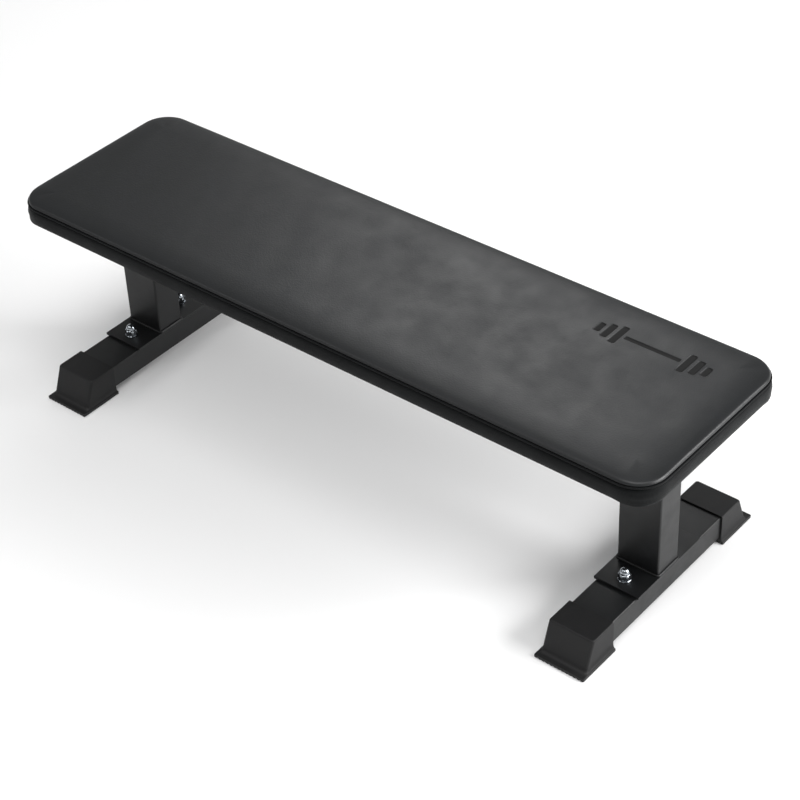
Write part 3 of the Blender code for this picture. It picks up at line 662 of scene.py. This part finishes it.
# %% [markdown]
# Geometry Nodes suit what follows a path. One tree makes both the piping and the weld beads: it
# turns an edge loop into a curve, resamples it, gives each point a radius that ripples along
# the way, and sweeps an oval along it. Piping ripples once a stitch; a weld ripples once a
# puddle of metal, with some noise from an unsteady hand.

# %% A tree that sweeps a rippled bead along a path
def new_tree(name, sockets):
    """A Geometry Nodes tree with a geometry in and out and the named inputs."""
    tree = bpy.data.node_groups.new(name, "GeometryNodeTree")
    tree.interface.new_socket("Geometry", in_out="INPUT", socket_type="NodeSocketGeometry")
    for key, kind in sockets.items():
        tree.interface.new_socket(key, in_out="INPUT", socket_type="NodeSocket" + kind)
    tree.interface.new_socket("Geometry", in_out="OUTPUT", socket_type="NodeSocketGeometry")
    return tree, add(tree, "NodeGroupInput").outputs


def end_tree(tree, geometry, material):
    """The ending that every tree needs: real geometry, its material and the way out."""
    real = add(tree, "GeometryNodeRealizeInstances", {"Geometry": geometry}).outputs[0]
    done = add(tree, "GeometryNodeSetMaterial", {"Geometry": real, "Material": material})
    add(tree, "NodeGroupOutput", {"Geometry": done.outputs[0]})
    print(tree.name, "nodes:", len(tree.nodes))


def grow(name, tree, mesh, values):
    """Runs a tree on a mesh with these values and keeps the result as a plain mesh."""
    carrier = keep_mesh(name + "_carrier", mesh)
    modifier = carrier.modifiers.new("tree", "NODES")
    modifier.node_group = tree
    for item in tree.interface.items_tree:
        if item.in_out == "INPUT" and item.name in values:
            modifier[item.identifier] = values[item.name]
    shaped = carrier.evaluated_get(bpy.context.evaluated_depsgraph_get())
    result = bpy.data.meshes.new_from_object(shaped)
    carrier.modifiers.clear()
    bpy.data.objects.remove(carrier)
    return keep_mesh(name, result)


bead_tree, given = new_tree("rippled_bead", {
    "Step": "Float", "Wide": "Float", "High": "Float", "Ripple": "Float",
    "Unevenness": "Float", "Sides": "Int", "Seed": "Int", "Material": "Material",
})
path = add(bead_tree, "GeometryNodeMeshToCurve", {"Mesh": given["Geometry"]}).outputs[0]
path = add(bead_tree, "GeometryNodeResampleCurve", {"Curve": path, "Length": given["Step"]},
           mode="LENGTH").outputs[0]
number = add(bead_tree, "GeometryNodeInputIndex").outputs[0]
beat = add(bead_tree, "ShaderNodeMath", {0: number, 1: 2.0}, operation="MODULO").outputs[0]
chance = add(bead_tree, "FunctionNodeRandomValue", {
    2: -1.0, 3: 1.0, "ID": number, "Seed": given["Seed"],
}, data_type="FLOAT").outputs[1]
uneven = add(bead_tree, "ShaderNodeMath", {0: chance, 1: given["Unevenness"], 2: 1.0},
             operation="MULTIPLY_ADD").outputs[0]
size = add(bead_tree, "ShaderNodeMath", {0: beat, 1: given["Ripple"], 2: uneven},
           operation="MULTIPLY_ADD").outputs[0]
path = add(bead_tree, "GeometryNodeSetCurveRadius", {"Curve": path, "Radius": size}).outputs[0]
oval = add(bead_tree, "GeometryNodeCurvePrimitiveCircle", {
    "Resolution": given["Sides"], "Radius": 0.5,
}).outputs["Curve"]
ratio = add(bead_tree, "ShaderNodeCombineXYZ", {
    "X": given["Wide"], "Y": given["High"], "Z": 1.0,
}).outputs[0]
oval = add(bead_tree, "GeometryNodeTransform", {"Geometry": oval, "Scale": ratio}).outputs[0]
swept = add(bead_tree, "GeometryNodeCurveToMesh", {
    "Curve": path, "Profile Curve": oval, "Scale": size, "Fill Caps": True,
}).outputs[0]
end_tree(bead_tree, swept, given["Material"])

# %% [markdown]
# Piping is a narrow strip of the band's vinyl folded round a cord and sewn into the seam, so
# that the cover's two halves meet in a neat line. The needle comes down every 4 mm and pinches
# it slightly. The tree can't give a UV map that runs along the strip, so a few lines of Python
# add one afterwards from each point's place on the outline.

# %% The piping
welt_low, welt_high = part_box("cover_welt")
WELT_Z = (welt_low.z + welt_high.z) / 2
WELT_RADIUS = (welt_high.z - welt_low.z) / 2
WELT_INSET = 0.0018
STITCH = 0.0040


def loop_mesh(name, points, closed=True):
    """A mesh of edges only, for a tree to follow."""
    links = [(i, i + 1) for i in range(len(points) - 1)]
    if closed:
        links.append((len(points) - 1, 0))
    mesh = bpy.data.meshes.new(name)
    mesh.from_pydata([tuple(point) for point in points], links, [])
    return mesh


piping_path = loop_mesh("piping_path", [(*point, WELT_Z) for point in outline(WELT_INSET)])
piping = grow("cover_piping", bead_tree, piping_path, {
    "Step": STITCH / 2, "Wide": 2 * WELT_RADIUS - 0.0004, "High": 2 * WELT_RADIUS - 0.0004,
    "Ripple": 0.035, "Unevenness": 0.01, "Sides": 10, "Seed": 3, "Material": band_vinyl,
})


def strip_uv(mesh):
    """A UV map in metres that runs along the pad's side and up it."""
    layer = mesh.uv_layers.new(name="strip")
    for loop in mesh.loops:
        x, y, z = mesh.vertices[loop.vertex_index].co
        run = x if abs(y) > CORE_WIDE and abs(x) < CORE_LONG else y
        layer.data[loop.index].uv = (run, z)


strip_uv(piping.data)
finish_piece(piping, band_vinyl, "band_vinyl", "cover_welt")

# %% [markdown]
# Under the pad a black spun-bonded cloth hides the board and keeps foam dust in. It is cut with
# rounded corners, stapled over the band's turned-in edge, and hangs a millimetre or so between
# the steel brackets that hold it up. A flat grid with that sag in it, given its thickness with
# Solidify, is enough: the staples hold it too well for folds to form.

# %% The dust cloth
cloth_low, cloth_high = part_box("dust_cover")
bracket_low, bracket_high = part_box("right_pad_bracket")
CLOTH_SAG = 0.0014
CLOTH_SHEET = 0.0004
CLOTH_LONG, CLOTH_WIDE = cloth_high.x, cloth_high.y
CLOTH_INSET = HALF_LENGTH - CLOTH_LONG
SAG_SLOPE = 0.060           # how far from what holds it the cloth hangs freely
BRACKET_GRIP = 0.004        # the cloth lies flat this far past a bracket's edges
STAPLED_EDGE = 0.015        # and this far in from its own edge
RIPPLE_LONG, RIPPLE_WIDE = 0.07, 0.09


def sag(x, y):
    """How far the cloth hangs at a point. The brackets hold it up, and so do its edges."""
    bay = 1.0
    for side in (-1, 1):
        middle = side * (bracket_low.x + bracket_high.x) / 2
        held = (bracket_high.x - bracket_low.x) / 2 + BRACKET_GRIP
        clear = max(abs(x - middle) - held, 0.0)
        bay *= min(clear / SAG_SLOPE, 1.0)
    edge = min(CLOTH_LONG - abs(x), CLOTH_WIDE - abs(y)) - STAPLED_EDGE
    ripple = 1 + 0.5 * noise.noise(Vector((x / RIPPLE_LONG, y / RIPPLE_WIDE, 2.2)))
    return CLOTH_SAG * bay * eased(edge / SAG_SLOPE) * ripple


shape = bmesh.new()
insets = [CLOTH_INSET, CLOTH_INSET + 0.003, 0.020, 0.026, 0.034, 0.041, PAD_CORNER]
cover_over(shape, [(inset, cloth_low.z) for inset in insets])
for vertex in shape.verts:
    vertex.co.z -= sag(vertex.co.x, vertex.co.y)
cloth = piece_from("dust_cloth", shape)
wall = cloth.modifiers.new("cloth", "SOLIDIFY")
wall.thickness = CLOTH_SHEET
wall.offset = 1
applied(cloth)
finish_piece(cloth, dust_cloth, "dust_cloth", "dust_cover")

# %% [markdown]
# Staples hold cloth and band to the board. A second tree walks round a path, drops a staple
# every so often, turns it to lie along the path and then a little off true at random, as a
# hand-held gun leaves them. The seed is fixed, so every run gives the same staples.

# %% A tree that lays copies along a path
def lay_copies(tree, given, points, rotation):
    """Puts a copy of the object at each point, and ends the tree."""
    model = add(tree, "GeometryNodeObjectInfo", {"Object": given["Copy"]}).outputs["Geometry"]
    copies = add(tree, "GeometryNodeInstanceOnPoints", {
        "Points": points, "Instance": model, "Rotation": rotation,
    }).outputs[0]
    end_tree(tree, copies, given["Material"])


along_tree, given = new_tree("copies_along_a_path", {
    "Spacing": "Float", "Skew": "Float", "Seed": "Int", "Copy": "Object", "Material": "Material",
})
path = add(along_tree, "GeometryNodeMeshToCurve", {"Mesh": given["Geometry"]}).outputs[0]
spots = add(along_tree, "GeometryNodeCurveToPoints", {
    "Curve": path, "Length": given["Spacing"],
}, mode="LENGTH")
skew_low = add(along_tree, "ShaderNodeMath", {0: given["Skew"], 1: -1.0}, operation="MULTIPLY")
skew = add(along_tree, "FunctionNodeRandomValue", {
    2: skew_low.outputs[0], 3: given["Skew"], "Seed": given["Seed"],
}, data_type="FLOAT").outputs[1]
heading = add(along_tree, "FunctionNodeAlignRotationToVector", {
    "Vector": spots.outputs["Tangent"],
}, axis="X", pivot_axis="Z").outputs[0]
turn = add(along_tree, "FunctionNodeAxisAngleToRotation", {
    "Axis": (0.0, 0.0, 1.0), "Angle": skew,
}).outputs[0]
heading = add(along_tree, "FunctionNodeRotateRotation", {
    "Rotation": heading, "Rotate By": turn,
}, rotation_space="GLOBAL").outputs[0]
lay_copies(along_tree, given, spots.outputs["Points"], heading)

# %% The staples
STAPLE_CROWN = 0.0110
STAPLE_WIDE = 0.0012
STAPLE_THICK = 0.0006
STAPLE_LEG = 0.0012
STAPLE_SPACING = 0.046
STAPLE_INSET = 0.0165
STAPLE_BEND = 0.0010

shape = bmesh.new()
half, bend = STAPLE_CROWN / 2, STAPLE_BEND
bar = [(-half, STAPLE_LEG), (-half, -0.0001), (-half + bend, -STAPLE_THICK),
       (half - bend, -STAPLE_THICK), (half, -0.0001), (half, STAPLE_LEG),
       (half - STAPLE_THICK, STAPLE_LEG), (half - STAPLE_THICK, 0.0),
       (-half + STAPLE_THICK, 0.0), (-half + STAPLE_THICK, STAPLE_LEG)]
sides = [[shape.verts.new((x, y, z)) for x, z in bar]
         for y in (-STAPLE_WIDE / 2, STAPLE_WIDE / 2)]
for i in range(len(bar)):
    j = (i + 1) % len(bar)
    shape.faces.new((sides[0][i], sides[0][j], sides[1][j], sides[1][i]))
for side in sides:
    for facet in ((0, 1, 8, 9), (1, 2, 3, 4, 7, 8), (4, 5, 6, 7)):
        shape.faces.new([side[number] for number in facet])
staple = piece_from("staple_model", shape, turn_out=True)
staple_path = loop_mesh("staple_path", [(*point, cloth_low.z) for point in outline(STAPLE_INSET)])
staples = grow("hem_staples", along_tree, staple_path, {
    "Spacing": STAPLE_SPACING, "Skew": math.radians(9), "Seed": 11, "Copy": staple,
    "Material": zinc,
})
bpy.data.objects.remove(staple)
finish_piece(staples, zinc, "zinc")

# %% [markdown]
# The steel parts already have the right shape: steel tube with rolled corners, flat plate and
# strip. Their CAD meshes are loose triangles, which shade as facets. A merged copy with smooth
# shading by angle shows the same shape with soft highlights along its edges, and a small bevel
# rounds the sharp edges as the paint does. The CAD nodes stay hidden beneath.

# %% Painted steel, rubber and plastic
SIDES, ENDS = ("left_", "right_"), ("front_", "rear_")
PAINT_EDGE = 0.0004
SAME_CORNER = 2e-5          # a CAD node's triangles meet at corners closer than this


def merged_copy(node, name, edge=0.0, most_angle=30):
    """A CAD node's shape as one connected mesh, its sharp edges rounded if edge is given."""
    shape = bmesh.new()
    shape.from_mesh(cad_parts[node].data)
    bmesh.ops.remove_doubles(shape, verts=shape.verts, dist=SAME_CORNER)
    bmesh.ops.dissolve_limit(shape, angle_limit=math.radians(1.0), verts=shape.verts,
                             edges=shape.edges)
    piece = piece_from(name, shape, turn_out=True)
    if edge:
        bevel = piece.modifiers.new("edge", "BEVEL")
        bevel.width = edge
        bevel.segments = 2
        bevel.limit_method = "ANGLE"
        bevel.angle_limit = math.radians(most_angle)
        applied(piece)
    return piece


steel = ["main_rail"] + [side + part for side in SIDES
                         for part in ("pad_bracket", "post", "base_plate", "foot_tube")]
for node in steel:
    finish_piece(merged_copy(node, node + "_painted", PAINT_EDGE), powder_coat,
                 "powder_coat", node, flat_faces=True)
for side in SIDES:
    finish_piece(merged_copy(side + "rail_end_cap", side + "rail_plug", PAINT_EDGE),
                 cap_plastic, "cap_plastic", side + "rail_end_cap", flat_faces=True)
    for end in ENDS:
        finish_piece(merged_copy(side + end + "boot", side + end + "rubber_boot", PAINT_EDGE),
                     rubber, "rubber", side + end + "boot", flat_faces=True)

# %% [markdown]
# Each post is welded to its base plate all round, and the rail to the posts' tops. The paint
# covers the bead, so it shows only as a soft rounded fillet that catches the light. The bead
# tree makes them too: a rounded rectangle round the post's foot, and straight runs where the
# rail lies on the post and where a bracket crosses the rail.

# %% Weld beads
FOOT_BEAD, HEAD_BEAD, STRAP_BEAD = 0.0052, 0.0030, 0.0040
BEAD_LIFT = 0.0002          # a bead's middle stands this far off the steel
HEAD_DROP = 0.00015         # and at a post's head this far below the rail
HEAD_SHORT, STRAP_SHORT = 0.003, 0.004  # a straight bead stops this far before the edge
FILLET_STEP = 0.0022


def rounded_path(low, high, grow_by, corner, z, steps=6):
    """Points of a rounded rectangle in plan, standing grow_by outside a box."""
    points = []
    for side_x, side_y, first in ((1, -1, -90), (1, 1, 0), (-1, 1, 90), (-1, -1, 180)):
        edge_x = high.x if side_x > 0 else low.x
        edge_y = high.y if side_y > 0 else low.y
        middle = Vector((edge_x - side_x * corner, edge_y - side_y * corner))
        points += [(*on_arc(middle, corner + grow_by, first + 90 * step / steps), z)
                   for step in range(steps + 1)]
    return points


def weld(name, points, closed, thick, seed):
    """A finished bead along these points."""
    piece = grow(name, bead_tree, loop_mesh(name + "_path", points, closed), {
        "Step": FILLET_STEP, "Wide": thick, "High": thick, "Ripple": 0.07,
        "Unevenness": 0.06, "Sides": 10, "Seed": seed, "Material": powder_coat,
    })
    finish_piece(piece, powder_coat, "powder_coat")


rail_low, rail_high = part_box("main_rail")
for number, side in enumerate(SIDES):
    post_low, post_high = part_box(side + "post")
    foot_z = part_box(side + "base_plate")[1].z + BEAD_LIFT
    weld(side + "post_foot_weld", rounded_path(post_low, post_high, BEAD_LIFT, 0.003, foot_z),
         True, FOOT_BEAD, 20 + number)
    for index, y in enumerate((post_low.y, post_high.y)):
        run = [(x, y, rail_low.z - HEAD_DROP)
               for x in (post_low.x + HEAD_SHORT, post_high.x - HEAD_SHORT)]
        weld(side + ENDS[index] + "head_weld", run, False, HEAD_BEAD, 30 + 2 * number + index)
    strap_low, strap_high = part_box(side + "pad_bracket")
    for index, x in enumerate((strap_low.x, strap_high.x)):
        run = [(x, y, rail_high.z + BEAD_LIFT)
               for y in (rail_low.y + STRAP_SHORT, rail_high.y - STRAP_SHORT)]
        weld(side + ("inner_", "outer_")[index] + "bracket_weld", run, False, STRAP_BEAD,
             40 + 2 * number + index)

# %% [markdown]
# Fasteners repeat, so each kind that shows is modelled once and copied to its places by a third
# tree. The carriage bolts and the T-nuts hardly show and are merged copies of the CAD. A
# hexagon nut or head is turned on a lathe after it is cut: its flats are trimmed by a cone,
# which leaves the curved bright edge seen on any nut. The same idea makes the mesh here. At each
# angle a point's radius is the smaller of the hexagon's and the turned profile's.

# %% Turned and hexagon shapes
def turned_hexagon(name, profile, flats=None, steps=72):
    """A solid of revolution to copy from. Rows marked True are cut down to a hexagon."""
    shape = bmesh.new()
    rings = []
    for radius, z, cut in profile:
        ring = []
        for step in range(steps):
            turn = 2 * math.pi * step / steps
            off_flat = (turn % (math.pi / 3)) - math.pi / 6
            reach = min(radius, flats / 2 / math.cos(off_flat)) if cut else radius
            ring.append(shape.verts.new((reach * math.cos(turn), reach * math.sin(turn), z)))
        rings.append(ring)
    join_rings(shape, rings)
    shape.faces.new(list(reversed(rings[0])))
    shape.faces.new(rings[-1])
    return piece_from(name, shape, turn_out=True)


def dome(radius, base, height, steps):
    """Rows of an elliptical dome, from its rim to just short of its pole."""
    turns = [math.radians(88 * step / steps) for step in range(steps + 1)]
    return [(radius * math.cos(turn), base + height * math.sin(turn), False) for turn in turns]


points_tree, given = new_tree("copies_at_points", {
    "Seed": "Int", "Twist": "Float", "Copy": "Object", "Material": "Material",
})
spots = add(points_tree, "GeometryNodeMeshToPoints", {"Mesh": given["Geometry"]}).outputs[0]
spin = add(points_tree, "FunctionNodeRandomValue", {
    2: 0.0, 3: given["Twist"], "Seed": given["Seed"],
}, data_type="FLOAT").outputs[1]
facing = add(points_tree, "FunctionNodeAxisAngleToRotation", {
    "Axis": (0.0, 0.0, 1.0), "Angle": spin,
}).outputs[0]
lay_copies(points_tree, given, spots, facing)

# %% The fasteners
corners = [side + end for side in SIDES for end in ENDS]


def place_of(node):
    """The middle of a CAD fastener in plan, at its lowest height."""
    low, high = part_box(node)
    return ((low.x + high.x) / 2, (low.y + high.y) / 2, low.z)


def place_copies(name, model, kind, seed):
    nodes = [corner + kind for corner in corners]
    mesh = bpy.data.meshes.new(name + "_places")
    mesh.from_pydata([place_of(node) for node in nodes], [], [])
    piece = grow(name, points_tree, mesh, {
        "Seed": seed, "Twist": math.radians(60), "Copy": model, "Material": zinc,
    })
    bpy.data.objects.remove(model)
    finish_piece(piece, zinc, "zinc", *nodes)


NUT_FLATS = 0.017
nut = turned_hexagon("dome_nut_model", [
    (0.0052, 0.0004, False), (0.0080, 0.0, True), (0.0086, 0.0003, True), (0.0098, 0.0010, True),
    (0.0099, 0.0075, True), (0.0086, 0.0086, True), (0.0079, 0.0090, False),
    *dome(0.0077, 0.0092, 0.0088, 12),
], NUT_FLATS)
place_copies("dome_nuts", nut, "dome_nut", 5)
washer = turned_hexagon("nut_washer_model", [
    (0.0054, 0.0001, False), (0.0097, 0.0, False), (0.0100, 0.0003, False),
    (0.0100, 0.0016, False), (0.0096, 0.0020, False), (0.0054, 0.0020, False),
])
place_copies("nut_washers", washer, "nut_washer", 6)
HEAD_FLATS = 0.013
head_low, head_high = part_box("left_front_pad_bolt")
BOLT_LONG = head_high.z - head_low.z
bolt = turned_hexagon("pad_bolt_model", [
    (0.0058, 0.0, True), (0.0063, 0.0001, True), (0.0074, 0.0009, True), (0.0075, 0.0053, True),
    (0.0040, 0.0053, False), (0.0040, BOLT_LONG - 0.001, False), (0.0032, BOLT_LONG, False),
], HEAD_FLATS)
place_copies("pad_bolts", bolt, "pad_bolt", 7)
washer = turned_hexagon("pad_washer_model", [
    (0.0044, 0.0, False), (0.0078, 0.0, False), (0.0080, 0.0002, False),
    (0.0080, 0.0014, False), (0.0078, 0.0016, False), (0.0044, 0.0016, False),
])
place_copies("pad_washers", washer, "pad_washer", 8)
for corner in corners:
    finish_piece(merged_copy(corner + "foot_bolt", corner + "carriage_bolt"), zinc, "zinc",
                 corner + "foot_bolt")
    finish_piece(merged_copy(corner + "t_nut", corner + "tee_nut"), zinc, "zinc",
                 corner + "t_nut")

# %% [markdown]
# The board is the one CAD node that stays as it is: it is a flat rounded plate, wholly inside
# the cover, and only needs its plywood.

# %% The board
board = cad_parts["pad_board"]
board.data.materials.clear()
board.data.materials.append(plywood)
print("CAD nodes left showing:", [name for name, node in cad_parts.items()
                                  if not node.hide_render])

# %% [markdown]
# A product picture is lit by large soft lights on a pale floor. The key light stands high on
# the right and behind, so that the posts' right-hand faces are pale and their front faces dark.
# A second light, high at the back left, lays its reflection along the right half of the pad.
# A wide panel overhead and a faint strip in front lift the pad's top and its rolled rim, and a
# very soft sun lights the floor evenly, however far it runs. The world is a little brighter near
# the horizon, where it meets the floor without a line.

# %% Floor and light
FLOOR_REACH = 14.0
FLOOR_Z = -0.0004           # just under the soles, so that the two don't share a plane
shape = bmesh.new()
bmesh.ops.create_grid(shape, x_segments=2, y_segments=2, size=FLOOR_REACH)
floor = piece_from("floor", shape)
floor.location.z = FLOOR_Z
paint = new_surface("matt_white_floor", Base_Color=linear("#f8f8f8"), Roughness=0.9,
                    Specular_IOR_Level=0.1)[0]
floor.data.materials.append(paint)
floor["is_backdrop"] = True

world = bpy.data.worlds.new("studio")
world.use_nodes = True
bpy.context.scene.world = world
tree = world.node_tree
backdrop = tree.nodes["Background"]
backdrop.inputs["Color"].default_value = linear("#ffffff")
upward = add(tree, "ShaderNodeSeparateXYZ", {
    "Vector": add(tree, "ShaderNodeTexCoord").outputs["Generated"],
}).outputs["Z"]
glow = add(tree, "ShaderNodeMapRange", {
    "Value": upward, "From Min": 0.02, "From Max": 0.35, "To Min": 0.52, "To Max": 0.19,
})
tree.links.new(glow.outputs["Result"], backdrop.inputs["Strength"])


def softbox(name, place, target, wide, high, power):
    lamp = bpy.data.lights.new(name, "AREA")
    lamp.shape = "RECTANGLE"
    lamp.size, lamp.size_y = wide, high
    lamp.energy = power
    light = bpy.data.objects.new(name, lamp)
    light.location = place
    aim = Vector(target) - Vector(place)
    light.rotation_euler = aim.to_track_quat("-Z", "Y").to_euler()
    bpy.context.scene.collection.objects.link(light)


daylight = bpy.data.objects.new("daylight", bpy.data.lights.new("daylight", "SUN"))
daylight.data.energy = 1.15
daylight.data.angle = math.radians(45)
daylight.rotation_euler = Vector((-0.5, 0.9, -3.4)).to_track_quat("-Z", "Y").to_euler()
bpy.context.scene.collection.objects.link(daylight)
softbox("key_right", (3.0, 1.2, 1.7), (0.1, 0.0, 0.2), 2.2, 1.4, 140)
softbox("back_left", (-1.35, 2.1, 2.3), (0.1, 0.0, 0.3), 1.1, 1.1, 15)
softbox("overhead", (0.6, -0.9, 3.4), (0.1, 0.0, 0.0), 3.0, 3.0, 32)
softbox("front_strip", (-1.7, -1.9, 2.1), (0.1, -0.16, 0.33), 2.2, 0.45, 9)
print("lights:", len(bpy.data.lights))

# %% [markdown]
# The camera stands well back with a long lens, a little to the right of the bench and above it,
# and is tilted by not quite three degrees. Depth of field is off, so that all of it is sharp.

# %% Camera
CAMERA_PLACE = Vector((1.70002, -1.91113, 2.10400))
CAMERA_TURN, CAMERA_DOWN, CAMERA_ROLL = 0.7158574, 0.6629587, -0.0483635
lens = bpy.data.cameras.new("camera")
lens.sensor_width = 36.0
lens.lens = 96.0
lens.clip_start = 0.05
lens.dof.use_dof = False
camera = bpy.data.objects.new("camera", lens)
bpy.context.scene.collection.objects.link(camera)
sight = Vector((-math.sin(CAMERA_TURN) * math.cos(CAMERA_DOWN),
                math.cos(CAMERA_TURN) * math.cos(CAMERA_DOWN), -math.sin(CAMERA_DOWN)))
level = sight.cross(Vector((0, 0, 1))).normalized()
upright = level.cross(sight)
right = level * math.cos(CAMERA_ROLL) + upright * math.sin(CAMERA_ROLL)
up = upright * math.cos(CAMERA_ROLL) - level * math.sin(CAMERA_ROLL)
turned = Matrix((right, up, -sight)).transposed().to_4x4()
camera.matrix_world = Matrix.Translation(CAMERA_PLACE) @ turned
bpy.context.scene.camera = camera
bpy.context.scene.view_settings.view_transform = "Standard"
print("camera at", tuple(round(value, 3) for value in camera.location))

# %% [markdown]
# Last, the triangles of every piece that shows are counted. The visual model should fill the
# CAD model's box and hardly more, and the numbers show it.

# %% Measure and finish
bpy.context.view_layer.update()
triangles = 0
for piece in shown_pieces():
    piece.data.calc_loop_triangles()
    triangles += len(piece.data.loop_triangles)
print("triangles shown:", triangles)
